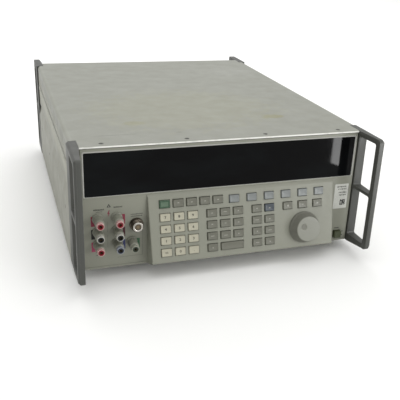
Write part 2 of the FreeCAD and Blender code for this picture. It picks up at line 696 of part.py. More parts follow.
def ground_stud():
    x, z = GROUND_STUD
    stud = rod(x, z, 2.9, CASE_DEPTH - 10.0, CASE_DEPTH + 14.0)
    nut = centred(x, z, 10.0, 10.0, CASE_DEPTH, CASE_DEPTH + 4.0)
    return join([stud, nut])


def rear_connectors():
    shapes = [mains_inlet(), ribbon_socket(BUS, 7.0), ribbon_socket(SERIAL, 6.0), ground_stud()]
    shapes += [coax_jack(x, z) for x, z in REAR_BNC]
    return Part.makeCompound(shapes)


def screws():
    """Cover and side screws with flush pan heads."""
    shapes = []
    slot_half = 0.4
    slot_reach = 1.8
    slot_depth = 0.6
    for x in COVER_SCREWS:
        head = post_z(x, COVER_SCREW_Y, HEAD_R, TOP_Z - HEAD_DEPTH, TOP_Z)
        shank = post_z(x, COVER_SCREW_Y, SCREW_R, TOP_Z - 5.0, TOP_Z - HEAD_DEPTH)
        width = (COVER_SCREW_Y - slot_half, COVER_SCREW_Y + slot_half)
        slot = block((x - slot_reach, x + slot_reach), width, (TOP_Z - slot_depth, TOP_Z + 1))
        shapes.append(join([head, shank]).cut(slot))
    for y, z in SIDE_SCREWS:
        face = SIDE_X if z < 100 else SIDE_X - 2.0
        head = Part.makeCylinder(HEAD_R, HEAD_DEPTH, V(face - HEAD_DEPTH, y, z), V(1, 0, 0))
        shank = Part.makeCylinder(SCREW_R, 8.5, V(face - HEAD_DEPTH - 8.5, y, z), V(1, 0, 0))
        length = (z - slot_reach, z + slot_reach)
        slot = block((face - slot_depth, face + 1), (y - slot_half, y + slot_half), length)
        shapes += both_sides(join([head, shank]).cut(slot))
    return Part.makeCompound(shapes)


# ---------------------------------------------------------------- output
def nodes():
    """Every node name with its shape."""
    parts = {
        "chassis": chassis(),
        "right_side_panel": side_panel(),
        "left_side_panel": mirrored(side_panel()),
        "top_cover": top_cover(),
        "bottom_cover": bottom_cover(),
        "front_panel": front_panel(),
        "display_lens": display_lens(),
        "display_module": display_module(),
        "right_front_handle": front_handle(),
        "left_front_handle": mirrored(front_handle()),
        "rear_handles": Part.makeCompound(both_sides(rear_handle())),
        "rear_panel": rear_panel(),
        "feet": feet(),
        "keyboard_board": keyboard_board(),
        "knob_encoder": knob_encoder(),
        "power_switch": power_switch(),
        "binding_post_bodies": Part.makeCompound([post_body(x, z) for _, x, z in POSTS]),
        "wideband_connector": wideband_connector(),
        "circuit_boards": circuit_boards(),
        "power_transformer": power_transformer(),
        "fan_housing": Part.makeCompound([fan_housing(), fan_guard()]),
        "rear_connectors": rear_connectors(),
        "screws": screws(),
        "fan_rotor": fan_rotor(),
        "edit_knob": edit_knob(),
        "power_button": power_button(),
    }
    for name, x, z in POSTS:
        parts[name + "_cap"] = post_cap(x, z)
    for name, keys in key_groups().items():
        parts[name] = Part.makeCompound([key(x, z, width) for x, z, width in keys])
    return parts


os.makedirs("parts", exist_ok=True)
for node_name, node_shape in nodes().items():
    node_shape.translate(V(0, SHIFT_Y, 0))
    if not node_shape.isValid() or node_shape.Volume < 1:
        raise ValueError("bad shape: " + node_name)
    node_shape.exportStep("parts/%s.step" % node_name)
    print(node_name, len(node_shape.Solids), round(node_shape.Volume))
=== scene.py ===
"""Looks of the rack-width bench calibrator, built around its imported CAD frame.

Metres, in the part's own frame: +Z up, +X to the right, the front panel faces -Y.
"""
import math
import random

import bmesh
import bpy
from mathutils import Matrix, Vector


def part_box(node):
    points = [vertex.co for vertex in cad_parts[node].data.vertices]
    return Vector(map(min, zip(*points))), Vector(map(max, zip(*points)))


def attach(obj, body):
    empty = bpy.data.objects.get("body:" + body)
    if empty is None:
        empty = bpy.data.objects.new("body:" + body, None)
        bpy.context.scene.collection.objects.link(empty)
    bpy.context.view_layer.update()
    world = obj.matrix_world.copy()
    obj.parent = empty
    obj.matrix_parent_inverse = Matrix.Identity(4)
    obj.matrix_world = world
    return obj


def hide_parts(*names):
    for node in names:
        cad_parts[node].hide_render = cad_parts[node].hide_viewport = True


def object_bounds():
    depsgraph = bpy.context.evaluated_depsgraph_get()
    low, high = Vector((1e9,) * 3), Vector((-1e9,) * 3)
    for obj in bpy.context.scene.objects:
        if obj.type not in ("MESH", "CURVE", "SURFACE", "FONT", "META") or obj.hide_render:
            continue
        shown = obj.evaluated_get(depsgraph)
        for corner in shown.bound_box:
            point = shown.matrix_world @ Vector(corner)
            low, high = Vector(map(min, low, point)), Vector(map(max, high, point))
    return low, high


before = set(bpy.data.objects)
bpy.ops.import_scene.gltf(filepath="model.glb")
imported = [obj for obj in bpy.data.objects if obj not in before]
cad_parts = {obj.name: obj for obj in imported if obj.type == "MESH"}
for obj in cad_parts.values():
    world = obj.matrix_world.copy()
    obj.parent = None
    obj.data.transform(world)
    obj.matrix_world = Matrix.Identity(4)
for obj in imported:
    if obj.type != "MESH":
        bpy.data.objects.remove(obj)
cad_low, cad_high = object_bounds()

MM = 0.001
LENS_LOW, LENS_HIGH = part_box("display_lens")
FACE_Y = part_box("wideband_connector")[0].y + 12 * MM      # flat of the front panel
REAR_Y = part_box("rear_panel")[1].y
TOP_Z = cad_high.z
CASE = "case"
KEYPAD_TOP_Z = 0.1165                                     # upper edge of the keypad face
KEYPAD_TOP_Y = FACE_Y - 3 * MM
KEYPAD_TILT = math.radians(13)                            # the keypad faces upwards by this much
SHOULDER_X = (0.2065, 0.2105)                             # start and end of the cover's rounded long edge
SHOULDER_DROP = (0.010, 0.004)                            # the same edge, down from the top
CHANNEL_Z = (LENS_LOW.z + LENS_HIGH.z) / 2                # the side channel runs level with the lens
SLEEVE_END = FACE_Y - 27 * MM                             # front of a binding post's coloured sleeve
CAMERA_PLACE = (-0.2971, -1.0536, 0.4582)
CAMERA_TURN = (20.672, 22.574, 3.047)                     # degrees: to the right, downwards, roll
CAMERA_LENS = 58.04
CAMERA_SHIFT = (-0.0679, -0.0093)
TILT = (
    Matrix.Translation((0, KEYPAD_TOP_Y, KEYPAD_TOP_Z))
    @ Matrix.Rotation(-KEYPAD_TILT, 4, "X")
    @ Matrix.Translation((0, -FACE_Y, -KEYPAD_TOP_Z))
)                                                         # from an upright keypad on the panel flat


# ================================================================ shader graphs
def linear(red, green, blue):
    """Linear colour from 0 to 255 display values."""
    def channel(value):
        value = value / 255
        return value / 12.92 if value <= 0.04045 else ((value + 0.055) / 1.055) ** 2.4
    return (channel(red), channel(green), channel(blue), 1.0)


class Graph:
    """A material with short calls for adding and wiring its nodes."""

    def __init__(self, name, color, roughness=0.5, metallic=0.0, specular=0.5):
        self.material = bpy.data.materials.new(name)
        self.material.use_nodes = True
        self.tree = self.material.node_tree
        self.shader = self.tree.nodes["Principled BSDF"]
        self.set("Base Color", color)
        self.set("Roughness", roughness)
        self.set("Metallic", metallic)
        self.set("Specular IOR Level", specular)
        self.color = color
        self.place = self.add("ShaderNodeTexCoord").outputs["Object"]

    def set(self, socket, value):
        target = self.shader.inputs[socket]
        if isinstance(value, bpy.types.NodeSocket):
            self.tree.links.new(value, target)
        else:
            target.default_value = value

    def add(self, kind, inputs=None, **settings):
        node = self.tree.nodes.new(kind)
        for key, value in settings.items():
            setattr(node, key, value)
        for key, value in (inputs or {}).items():
            if isinstance(value, bpy.types.NodeSocket):
                self.tree.links.new(value, node.inputs[key])
            else:
                node.inputs[key].default_value = value
        return node

    def stretched(self, scale):
        """The object's coordinates stretched along the axes."""
        return self.add("ShaderNodeMapping", {"Vector": self.place, "Scale": scale}).outputs[0]

    def noise(self, scale, detail=3.0, roughness=0.5, vector=None):
        node = self.add(
            "ShaderNodeTexNoise",
            {"Vector": vector or self.place, "Scale": scale, "Detail": detail, "Roughness": roughness},
        )
        return node.outputs["Fac"]

    def ramp(self, value, low, high, out_low=0.0, out_high=1.0):
        node = self.add(
            "ShaderNodeMapRange",
            {"Value": value, "From Min": low, "From Max": high, "To Min": out_low, "To Max": out_high},
        )
        return node.outputs["Result"]

    def math(self, operation, first, second=0.0):
        node = self.add("ShaderNodeMath", operation=operation)
        for index, value in enumerate((first, second)):
            if isinstance(value, bpy.types.NodeSocket):
                self.tree.links.new(value, node.inputs[index])
            else:
                node.inputs[index].default_value = value
        return node.outputs[0]

    def mix(self, factor, first, second, blend="MIX"):
        node = self.add("ShaderNodeMix", data_type="RGBA", blend_type=blend)
        for index, value in ((0, factor), (6, first), (7, second)):
            if isinstance(value, bpy.types.NodeSocket):
                self.tree.links.new(value, node.inputs[index])
            else:
                node.inputs[index].default_value = value
        return node.outputs[2]

    def bump(self, height, strength, distance, normal=None):
        inputs = {"Height": height, "Strength": strength, "Distance": distance}
        if normal is not None:
            inputs["Normal"] = normal
        return self.add("ShaderNodeBump", inputs).outputs[0]

    def along(self, axis, low, high, out_low=0.0, out_high=1.0):
        """A ramp between two places on one axis of the part."""
        split = self.add("ShaderNodeSeparateXYZ", {"Vector": self.place})
        return self.ramp(split.outputs[axis], low, high, out_low, out_high)

    def edges(self, radius, low=0.0, high=0.12):
        """1 on worn edges and 0 on flats."""
        rounded = self.add("ShaderNodeBevel", {"Radius": radius}, samples=4).outputs[0]
        flat = self.add("ShaderNodeNewGeometry").outputs["Normal"]
        dot = self.add("ShaderNodeVectorMath", {0: rounded, 1: flat}, operation="DOT_PRODUCT")
        return self.ramp(self.math("SUBTRACT", 1.0, dot.outputs["Value"]), low, high)

    def spot(self, centre, radii, softness=0.35, ragged=0.25, scale=90.0):
        """1 inside a soft ragged patch around a point, 0 outside."""
        offset = self.add("ShaderNodeVectorMath", {0: self.place, 1: centre}, operation="SUBTRACT").outputs[0]
        shrink = [1 / radius for radius in radii]
        scaled = self.add("ShaderNodeVectorMath", {0: offset, 1: shrink}, operation="MULTIPLY").outputs[0]
        length = self.add("ShaderNodeVectorMath", {0: scaled}, operation="LENGTH").outputs["Value"]
        uneven = self.math("ADD", length, self.ramp(self.noise(scale), 0.3, 0.7, -ragged, ragged))
        return self.ramp(uneven, 1.0, 1.0 - softness)


def lighter(color, factor):
    return tuple(min(1.0, channel * factor) for channel in color[:3]) + (1.0,)


def tint(graph, spread, scale):
    """The graph's colour with slow uneven patches."""
    dark, light = lighter(graph.color, 1 - spread), lighter(graph.color, 1 + spread)
    return graph.mix(graph.ramp(graph.noise(scale, 4.0), 0.3, 0.7), dark, light)


def painted(name, color, grain=1400.0, grain_depth=0.00006, wear=None, wear_radius=0.0007, wear_amount=0.75,
            stains=(), painted_highlights=()):
    """Baked paint on metal: fine orange peel, slow patches, worn edges and stains.
    painted_highlights is a list of (mask function, colour): bands lightened to paint highlights onto the
    paint."""
    g = Graph(name, color, roughness=0.5, specular=0.4)
    base = tint(g, 0.02, 4.0)
    smudge = g.ramp(g.noise(9.0, 6.0, 0.6), 0.52, 0.8)
    base = g.mix(g.math("MULTIPLY", smudge, 0.06), base, lighter(color, 0.86))
    for centre, radii, stain, amount in stains:
        mask = g.math("MULTIPLY", g.spot(centre, radii), amount)
        base = g.mix(mask, base, stain)
    scratch = g.noise(110.0, 2.0, 0.5, g.stretched((1.0, 3.0, 1.0)))
    fine = g.ramp(scratch, 0.74, 0.77)
    base = g.mix(g.math("MULTIPLY", fine, 0.12), base, lighter(color, 1.12))
    # painted highlights: lighten the paint inside each mask
    for mask, bright in painted_highlights:
        base = g.mix(mask(g), base, bright)
    if wear:
        patchy = g.math("MULTIPLY", g.edges(wear_radius), g.ramp(g.noise(120.0), 0.3, 0.6, 0.45, 1.0))
        base = g.mix(g.math("MULTIPLY", patchy, wear_amount), base, wear)
    g.set("Base Color", base)
    g.set("Roughness", g.ramp(g.noise(40.0, 5.0), 0.3, 0.7, 0.42, 0.58))
    peel = g.noise(grain, 2.0)
    g.set("Normal", g.bump(peel, 0.35, grain_depth))
    return g.material


def moulded(name, color, rough=0.5, grain=2600.0, depth=0.00004, spread=0.03, corner_shade=0.25, specular=0.4):
    """Fine-grained moulded plastic with painted shade darkening its corners and gaps, and lighter worn edges.
    """
    g = Graph(name, color, roughness=rough, specular=specular)
    base = tint(g, spread, 22.0)
    # ambient occlusion paints shade into corners, gaps and recesses
    corner = g.add("ShaderNodeAmbientOcclusion", {"Distance": 0.004}, samples=6).outputs["AO"]
    corner_shade_mask = g.math("MULTIPLY", g.ramp(corner, 0.75, 0.25), corner_shade)
    base = g.mix(corner_shade_mask, base, lighter(color, 0.35))
    rub = g.math("MULTIPLY", g.edges(0.0005), 0.3)
    base = g.mix(rub, base, lighter(color, 1.25))
    g.set("Base Color", base)
    g.set("Roughness", g.ramp(g.noise(180.0, 4.0), 0.3, 0.7, rough - 0.07, rough + 0.07))
    g.set("Normal", g.bump(g.noise(grain, 2.0), 0.3, depth))
    return g.material


def metal(name, color, rough=0.3, brushed=None, tarnish=0.3):
    """Bare or plated metal with brushed lines and dull patches."""
    g = Graph(name, color, roughness=rough, metallic=1.0)
    lines = g.noise(700.0, 3.0, 0.6, g.stretched(brushed or (1.0, 1.0, 1.0)))
    dull = g.ramp(g.noise(140.0, 5.0, 0.6), 0.45, 0.7)
    g.set("Base Color", g.mix(g.math("MULTIPLY", dull, tarnish), color, lighter(color, 0.55)))
    streaks = g.ramp(lines, 0.3, 0.7, rough - 0.06, rough + 0.08)
    g.set("Roughness", g.math("ADD", streaks, g.math("MULTIPLY", dull, 0.12)))
    g.set("Normal", g.bump(lines, 0.12, 0.00003))
    return g.material


def printed(name, color):
    """Silk-screened ink: slightly uneven coverage."""
    g = Graph(name, color, roughness=0.45, specular=0.35)
    thin = g.ramp(g.noise(900.0, 3.0), 0.35, 0.6)
    g.set("Base Color", g.mix(thin, lighter(color, 0.82), color))
    g.set("Roughness", g.ramp(g.noise(500.0), 0.3, 0.7, 0.38, 0.55))
    g.set("Normal", g.bump(g.noise(3000.0), 0.15, 0.00002))
    return g.material


def lens_material():
    """Smoked acrylic: near black, glossy, with faint cleaning haze."""
    g = Graph("smoked_lens", linear(10, 11, 11), roughness=0.05, specular=0.06)
    haze = g.ramp(g.noise(7.0, 5.0, 0.6, g.stretched((1.0, 1.0, 3.0))), 0.42, 0.75)
    g.set("Base Color", g.mix(haze, linear(7, 7, 8), linear(16, 19, 20)))
    g.set("Roughness", g.ramp(g.noise(45.0, 5.0, 0.65), 0.35, 0.75, 0.03, 0.09))
    g.set("Normal", g.bump(g.noise(60.0, 1.0), 0.02, 0.00005))
    return g.material


def board_material():
    """Green solder mask over copper tracks."""
    g = Graph("solder_mask", linear(24, 84, 44), roughness=0.35)
    tracks = g.add(
        "ShaderNodeTexBrick",
        {"Vector": g.place, "Scale": 90.0, "Mortar Size": 0.03, "Color1": linear(24, 84, 44),
         "Color2": linear(20, 72, 40), "Mortar": linear(60, 120, 60)},
    )
    g.set("Base Color", tracks.outputs["Color"])
    g.set("Normal", g.bump(tracks.outputs["Fac"], 0.3, 0.00006))
    return g.material


def rubber():
    """Moulded rubber feet: dull, uneven and slightly rough."""
    g = Graph("foot_rubber_mat", linear(38, 38, 37), roughness=0.75, specular=0.25)
    g.set("Base Color", tint(g, 0.2, 60.0))
    g.set("Roughness", g.ramp(g.noise(300.0), 0.3, 0.7, 0.65, 0.85))
    g.set("Normal", g.bump(g.noise(1800.0), 0.4, 0.0001))
    return g.material


COVER = linear(132, 133, 124)
PANEL = linear(128, 129, 117)
HANDLE = linear(66, 67, 63)
RESIDUE = linear(126, 123, 76)
BARE = linear(196, 197, 190)


def on_cover(x, depth, up=0.0):
    """A place on the top cover from millimetres right of centre and behind the panel."""
    return (x * MM, FACE_Y + depth * MM, TOP_Z + up * MM)


cover_stains = [
    (on_cover(-113, 93), (0.018, 0.013, 0.02), RESIDUE, 0.45),
    (on_cover(104, 93), (0.022, 0.013, 0.02), RESIDUE, 0.55),
    (on_cover(-20, 160), (0.17, 0.13, 0.02), linear(136, 136, 119), 0.55),
    (on_cover(150, 420), (0.05, 0.05, 0.02), linear(142, 143, 136), 0.5),
    (on_cover(-150, 42), (0.032, 0.0020, 0.02), linear(104, 104, 97), 0.5),
    (on_cover(-60, 40), (0.0055, 0.0016, 0.02), linear(96, 94, 84), 0.6),
]


def shoulder_highlight(g):
    """Painted highlight along the cover's rounded long edges."""
    side = g.math("ABSOLUTE", g.add("ShaderNodeSeparateXYZ", {"Vector": g.place}).outputs[0])
    height = g.along(2, TOP_Z - SHOULDER_DROP[0], TOP_Z - SHOULDER_DROP[1])
    return g.math("MULTIPLY", g.math("MULTIPLY", g.ramp(side, *SHOULDER_X), height), 0.45)


def lip_highlight(g):
    """Painted highlight along the cover's front edge, uneven along its length."""
    front = g.along(1, FACE_Y + 0.0002, FACE_Y - 0.0004)
    return g.math("MULTIPLY", front, g.ramp(g.noise(150.0, 4.0), 0.25, 0.5, 0.55, 0.95))


def channel_ledge_highlight(g):
    """Painted highlight on the upward-facing ledge along the side panel's channel."""
    lower = g.along(2, CHANNEL_Z - 0.022, CHANNEL_Z - 0.014)
    upper = g.along(2, CHANNEL_Z + 0.006, CHANNEL_Z - 0.004)
    return g.math("MULTIPLY", g.math("MULTIPLY", lower, upper), 0.55)


MATERIALS = {
    # cover: painted highlights along its rounded long edges and along its front edge
    "cover": painted("cover_paint", COVER, stains=cover_stains,
                     painted_highlights=[(shoulder_highlight, lighter(COVER, 1.42)), (lip_highlight, linear(226, 226, 220))]),
    # side: a painted highlight along the ledge of its channel
    "side": painted("side_paint", linear(138, 138, 127), wear=BARE,
                    painted_highlights=[(channel_ledge_highlight, linear(160, 160, 144))]),
    "panel": moulded("panel_plastic_mat", PANEL, rough=0.5, corner_shade=0.3),
    "trim": moulded("trim_plastic", linear(158, 158, 152), rough=0.38, corner_shade=0.15),
    "handle": painted("handle_paint_mat", HANDLE, grain=900.0, grain_depth=0.0001,
                      wear=linear(120, 121, 116)),
    "lens": lens_material(),
    "cream": moulded("key_cream_mat", linear(164, 161, 143), rough=0.42, corner_shade=0.5),
    "grey": moulded("key_grey_mat", linear(98, 98, 87), rough=0.45, corner_shade=0.5),
    "soft": moulded("key_soft_mat", linear(113, 117, 116), rough=0.42, corner_shade=0.5),
    "blue": moulded("key_blue_mat", linear(56, 63, 70), rough=0.42, corner_shade=0.5),
    "green": moulded("key_green_mat", linear(80, 101, 82), rough=0.42, corner_shade=0.4),
    "green_rim": moulded("key_green_rim_mat", linear(40, 70, 48), rough=0.45),
    "knob": moulded("knob_face_mat", linear(123, 124, 114), rough=0.4, corner_shade=0.2),
    "grip": moulded("knob_grip_mat", linear(108, 108, 99), rough=0.6, corner_shade=0.6),
    "power": moulded("power_mat", linear(66, 72, 48), rough=0.42, corner_shade=0.35),
    "cap": moulded("post_cap_mat", linear(124, 125, 113), rough=0.36, corner_shade=0.35),
    "ring_red": moulded("post_ring_red", linear(196, 158, 154), rough=0.3, corner_shade=0.2),
    "ring_black": moulded("post_ring_black", linear(178, 178, 170), rough=0.3, corner_shade=0.2),
    "ring_navy": moulded("post_ring_blue", linear(134, 140, 150), rough=0.3, corner_shade=0.2),
    "ring_leaf": moulded("post_ring_green", linear(140, 142, 128), rough=0.3, corner_shade=0.2),
    "red": moulded("sleeve_red", linear(112, 6, 24), rough=0.28, corner_shade=0.5),
    "black": moulded("sleeve_black", linear(10, 11, 10), rough=0.28, corner_shade=0.2),
    "navy": moulded("sleeve_blue", linear(27, 32, 42), rough=0.28, corner_shade=0.3),
    "leaf": moulded("sleeve_green", linear(38, 46, 34), rough=0.28, corner_shade=0.3),
    "ink_red": printed("ink_red", linear(126, 44, 62)),
    "ink_magenta": printed("ink_magenta", linear(158, 60, 92)),
    "ink_black": printed("ink_black", linear(24, 24, 22)),
    "ink_maroon": printed("ink_maroon", linear(66, 26, 34)),
    "ink_blue": printed("ink_blue", linear(62, 68, 112)),
    "ink_green": printed("ink_green", linear(48, 86, 58)),
    "ink_grey": printed("ink_grey", linear(84, 86, 80)),
    "ink_white": printed("ink_white", linear(160, 160, 150)),
    "sticker": printed("sticker_paper", linear(194, 195, 188)),
    "nickel": metal("nickel_plate", (0.62, 0.6, 0.55, 1), rough=0.24),
    "gunmetal": metal("gunmetal_plate", (0.10, 0.086, 0.068, 1), rough=0.2, tarnish=0.5),
    "brass": metal("socket_brass", (0.30, 0.22, 0.12, 1), rough=0.4, tarnish=0.7),
    "steel": metal("zinc_steel", (0.36, 0.36, 0.34, 1), rough=0.42, tarnish=0.5),
    "black_steel": metal("blackened_steel", (0.10, 0.10, 0.09, 1), rough=0.5, tarnish=0.5),
    "sheet": metal("alodine_sheet", (0.46, 0.46, 0.42, 1), rough=0.48, brushed=(1.0, 1.0, 12.0),
                   tarnish=0.12),
    "iron": metal("core_laminations", (0.20, 0.17, 0.13, 1), rough=0.5, brushed=(14.0, 1.0, 1.0)),
    "dark": moulded("dark_plastic_mat", linear(34, 34, 33), rough=0.5),
    "amber": moulded("insulator", linear(92, 80, 62), rough=0.4),
    "glass": moulded("tube_glass", linear(26, 32, 34), rough=0.15, corner_shade=0.0, specular=0.5),
    "board": board_material(),
    "rubber": rubber(),
}


# ================================================================ mesh tools
def publish(name, bm, material, body=CASE, replaces=(), smooth=True, angle=35.0, tilt=False):
    """Turn a bmesh into a finished piece that rides on a body."""
    if tilt:
        bm.transform(TILT)
    bmesh.ops.remove_doubles(bm, verts=bm.verts, dist=1e-7)
    bmesh.ops.recalc_face_normals(bm, faces=bm.faces)
    mesh = bpy.data.meshes.new(name)
    bm.to_mesh(mesh)
    bm.free()
    piece = bpy.data.objects.new(name, mesh)
    bpy.context.scene.collection.objects.link(piece)
    names = [material] if isinstance(material, str) else list(material)
    for key in names:
        mesh.materials.append(MATERIALS[key])
    if smooth:
        shade(piece, angle)
    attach(piece, body)
    for node in replaces:
        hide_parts(node)
    return piece


def shade(piece, angle):
    """Smooth faces, with sharp edges above the angle."""
    mesh = piece.data
    for polygon in mesh.polygons:
        polygon.use_smooth = True
    mesh.set_sharp_from_angle(angle=math.radians(angle))


def box_rings(cx, cz, width, height, corner, rings, steps=5):
    """Loops of a rounded rectangle in the panel plane: one loop per (inset, y)."""
    loops = []
    for inset, y in rings:
        half_w, half_h = width / 2 - inset, height / 2 - inset
        radius = max(corner - inset, 0.12 * corner)
        radius = min(radius, half_w, half_h)
        points = []
        for quarter, (sx, sz) in enumerate(((1, 1), (-1, 1), (-1, -1), (1, -1))):
            for step in range(steps + 1):
                a = math.radians(90 * quarter + 90 * step / steps)
                points.append(Vector((
                    cx + sx * (half_w - radius) + radius * math.cos(a),
                    y,
                    cz + sz * (half_h - radius) + radius * math.sin(a),
                )))
        loops.append(points)
    return loops


def loft(bm, loops, close_start=True, close_end=True, closed=True, material=0):
    """Faces between loops with the same number of points."""
    rows = [[bm.verts.new(point) for point in loop] for loop in loops]
    count = len(rows[0])
    last = count if closed else count - 1
    for first, second in zip(rows, rows[1:]):
        for i in range(last):
            j = (i + 1) % count
            face = bm.faces.new((first[i], first[j], second[j], second[i]))
            face.material_index = material
    for row, wanted in ((rows[0], close_start), (rows[-1], close_end)):
        if wanted:
            bm.faces.new(row).material_index = material
    return rows


def lathe(bm, cx, cz, profile, segments=48, material=0, wobble=None):
    """Solid of revolution along Y: profile is (radius, y) pairs from the back to the front.
    A radius of 0 at an end closes it in a point. wobble(angle, y, radius) adds to the radius."""
    loops = []
    for radius, y in profile:
        points = []
        for step in range(segments):
            a = 2 * math.pi * step / segments
            r = radius + (wobble(a, y, radius) if wobble and radius > 0 else 0.0)
            points.append(Vector((cx + r * math.cos(a), y, cz + r * math.sin(a))))
        loops.append(points)
    return loft(bm, loops, close_start=profile[0][0] > 0, close_end=profile[-1][0] > 0, material=material)


def turned(points):
    """A lathe profile from (radius, distance in front of the panel) pairs in millimetres."""
    return [(radius * MM, FACE_Y - out * MM) for radius, out in points]


def arc(centre_r, centre_y, radius, start, end, steps=6):
    """(radius, y) points on an arc, with angles in degrees: 0 is outwards, 90 is towards the front."""
    points = []
    for step in range(steps + 1):
        a = math.radians(start + (end - start) * step / steps)
        points.append((centre_r + radius * math.cos(a), centre_y - radius * math.sin(a)))
    return points


def islands(node, tilt=False):
    """The separate solids of a CAD node as bmeshes, left to right; keypad parts stand upright with tilt."""
    source = bmesh.new()
    source.from_mesh(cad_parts[node].data)
    if tilt:
        source.transform(TILT.inverted())
    bmesh.ops.remove_doubles(source, verts=source.verts, dist=2e-6)
    left = set(source.verts)
    groups = []
    while left:
        stack = [left.pop()]
        group = set(stack)
        while stack:
            for edge in stack.pop().link_edges:
                for vert in edge.verts:
                    if vert in left:
                        left.discard(vert)
                        group.add(vert)
                        stack.append(vert)
        groups.append(group)
    result = []
    for group in groups:
        bm = bmesh.new()
        lookup = {vert: bm.verts.new(vert.co) for vert in group}
        for face in {face for vert in group for face in vert.link_faces}:
            bm.faces.new([lookup[vert] for vert in face.verts])
        result.append(bm)
    source.free()
    return sorted(result, key=lambda bm: round(extent(bm)[0].x + 0.01 * extent(bm)[0].z, 5))


def extent(bm):
    """Lowest and highest corner of a bmesh."""
    lows = Vector([min(vert.co[i] for vert in bm.verts) for i in range(3)])
    highs = Vector([max(vert.co[i] for vert in bm.verts) for i in range(3)])
    return lows, highs


def centre_of(bm):
    low, high = extent(bm)
    return (low + high) / 2


def soften(bm, width, segments=3, angle=30.0):
    """Merge flat faces and round every sharp edge of a CAD solid."""
    bmesh.ops.dissolve_limit(
        bm, angle_limit=math.radians(0.6), verts=bm.verts, edges=bm.edges, use_dissolve_boundaries=False
    )
    sharp = [
        edge for edge in bm.edges
        if len(edge.link_faces) == 2 and edge.calc_face_angle(0.0) > math.radians(angle)
    ]
    bmesh.ops.bevel(
        bm, geom=sharp, offset=width, segments=segments, profile=0.5, affect="EDGES", clamp_overlap=True
    )
    return bm


def polygon_plate(bm, points, y, thickness, material=0):
    """Flat shape in the panel plane with its face at y, from (x, z) points in metres."""
    loops = [[Vector((x, depth, z)) for x, z in points] for depth in (y + thickness, y)]
    loft(bm, loops, material=material)


def rectangle(bm, x0, x1, z0, z1, y, thickness, material=0):
    polygon_plate(bm, [(x0, z0), (x1, z0), (x1, z1), (x0, z1)], y, thickness, material)


def node_centre(node):
    low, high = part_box(node)
    return (low + high) / 2


def finish_node(node, material):
    """Keep a CAD node and give it a material."""
    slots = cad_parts[node].data.materials
    if len(slots) == 0:
        slots.append(MATERIALS[material])
    for index in range(len(slots)):
        slots[index] = MATERIALS[material]


# ================================================================ case
def softened_node(node, material, width, angle=30.0):
    """Stand a copy with rounded edges in place of each solid of a CAD node."""
    for index, bm in enumerate(islands(node)):
        soften(bm, width, angle=angle)
        publish("%s_shell_%d" % (node, index + 1), bm, material, replaces=[node], angle=40.0)


def build_case():
    """Cast handles and feet with rounded edges; the other case nodes keep their CAD shape."""
    for node in ("left_front_handle", "right_front_handle", "rear_handles"):
        softened_node(node, "handle", 0.0011)
    softened_node("feet", "rubber", 0.0006)
    finish_node("top_cover", "cover")
    finish_node("bottom_cover", "side")
    for node in ("left_side_panel", "right_side_panel"):
        finish_node(node, "side")
    finish_node("front_panel", "panel")
    finish_node("display_lens", "lens")
    finish_node("display_module", "glass")
    finish_node("chassis", "sheet")
    finish_node("rear_panel", "sheet")
    finish_node("screws", "black_steel")
    finish_node("keyboard_board", "board")
    finish_node("circuit_boards", "board")
    finish_node("knob_encoder", "steel")
    finish_node("power_switch", "dark")
    finish_node("power_transformer", "iron")


def build_lens_trim():
    """Raised light frame around the lens, with a rounded section."""
    bm = bmesh.new()
    centre = (LENS_LOW + LENS_HIGH) / 2
    width = LENS_HIGH.x - LENS_LOW.x
    height = LENS_HIGH.z - LENS_LOW.z
    gap = 0.2 * MM
    rim = 1.9 * MM
    rings = [(gap, FACE_Y + 0.3 * MM), (-0.2 * MM, FACE_Y - 0.5 * MM), (-0.7 * MM, FACE_Y - 0.8 * MM),
             (-rim + 0.5 * MM, FACE_Y - 0.8 * MM), (-rim, FACE_Y - 0.4 * MM), (-rim, FACE_Y + 0.02 * MM)]
    loops = box_rings(centre.x, centre.z, width, height, 1.6 * MM, rings)
    loft(bm, loops, close_start=False, close_end=False)
    loft(bm, [loops[-1], loops[0]], close_start=False, close_end=False)
    for face in bm.faces:
        below = face.calc_center_median().z < LENS_LOW.z
        face.material_index = 1 if below else 0
    publish("lens_trim", bm, ["trim", "panel"])


# ================================================================ keys
KEY_ROUND = 0.9 * MM


def key_shape(bm, low, high, front, material=0):
    """One key cap: drafted sides, rounded rim and a dished face."""
    centre = (low + high) / 2
    width, height = high.x - low.x, high.z - low.z
    flange = 0.9 * MM
    width -= 2 * flange
    height -= 2 * flange
    r = KEY_ROUND
    rings = [(0.0, high.y), (0.0, FACE_Y + 0.5 * MM), (0.25 * MM, front + r)]
    for step in range(1, 6):
        a = math.radians(90 * step / 5)
        rings.append((0.25 * MM + r * (1 - math.cos(a)), front + r * (1 - math.sin(a))))
    for inset, depth in ((1.9, 0.10), (2.8, 0.24), (3.8, 0.34), (4.8, 0.39)):
        rings.append((inset * MM, front + depth * MM))
    loft(bm, box_rings(centre.x, centre.z, width, height, 1.3 * MM, rings), material=material)


def glyph(bm, text, cx, cz, y, size, material=0):
    """A character as a thin plate in the panel plane."""
    curve = bpy.data.curves.new("glyph", "FONT")
    curve.body = text
    curve.size = size
    curve.align_x = "CENTER"
    curve.align_y = "CENTER"
    curve.extrude = 0.04 * MM
    curve.offset = 0.12 * MM
    curve.resolution_u = 3
    holder = bpy.data.objects.new("glyph", curve)
    bpy.context.scene.collection.objects.link(holder)
    bpy.context.view_layer.update()
    depsgraph = bpy.context.evaluated_depsgraph_get()
    mesh = bpy.data.meshes.new_from_object(holder.evaluated_get(depsgraph))
    mesh.transform(Matrix.Translation((cx, y, cz)) @ Matrix.Rotation(math.radians(90), 4, "X"))
    start = len(bm.faces)
    bm.from_mesh(mesh)
    bm.faces.ensure_lookup_table()
    for face in bm.faces[start:]:
        face.material_index = material
    bpy.data.objects.remove(holder)
    bpy.data.curves.remove(curve)
    bpy.data.meshes.remove(mesh)


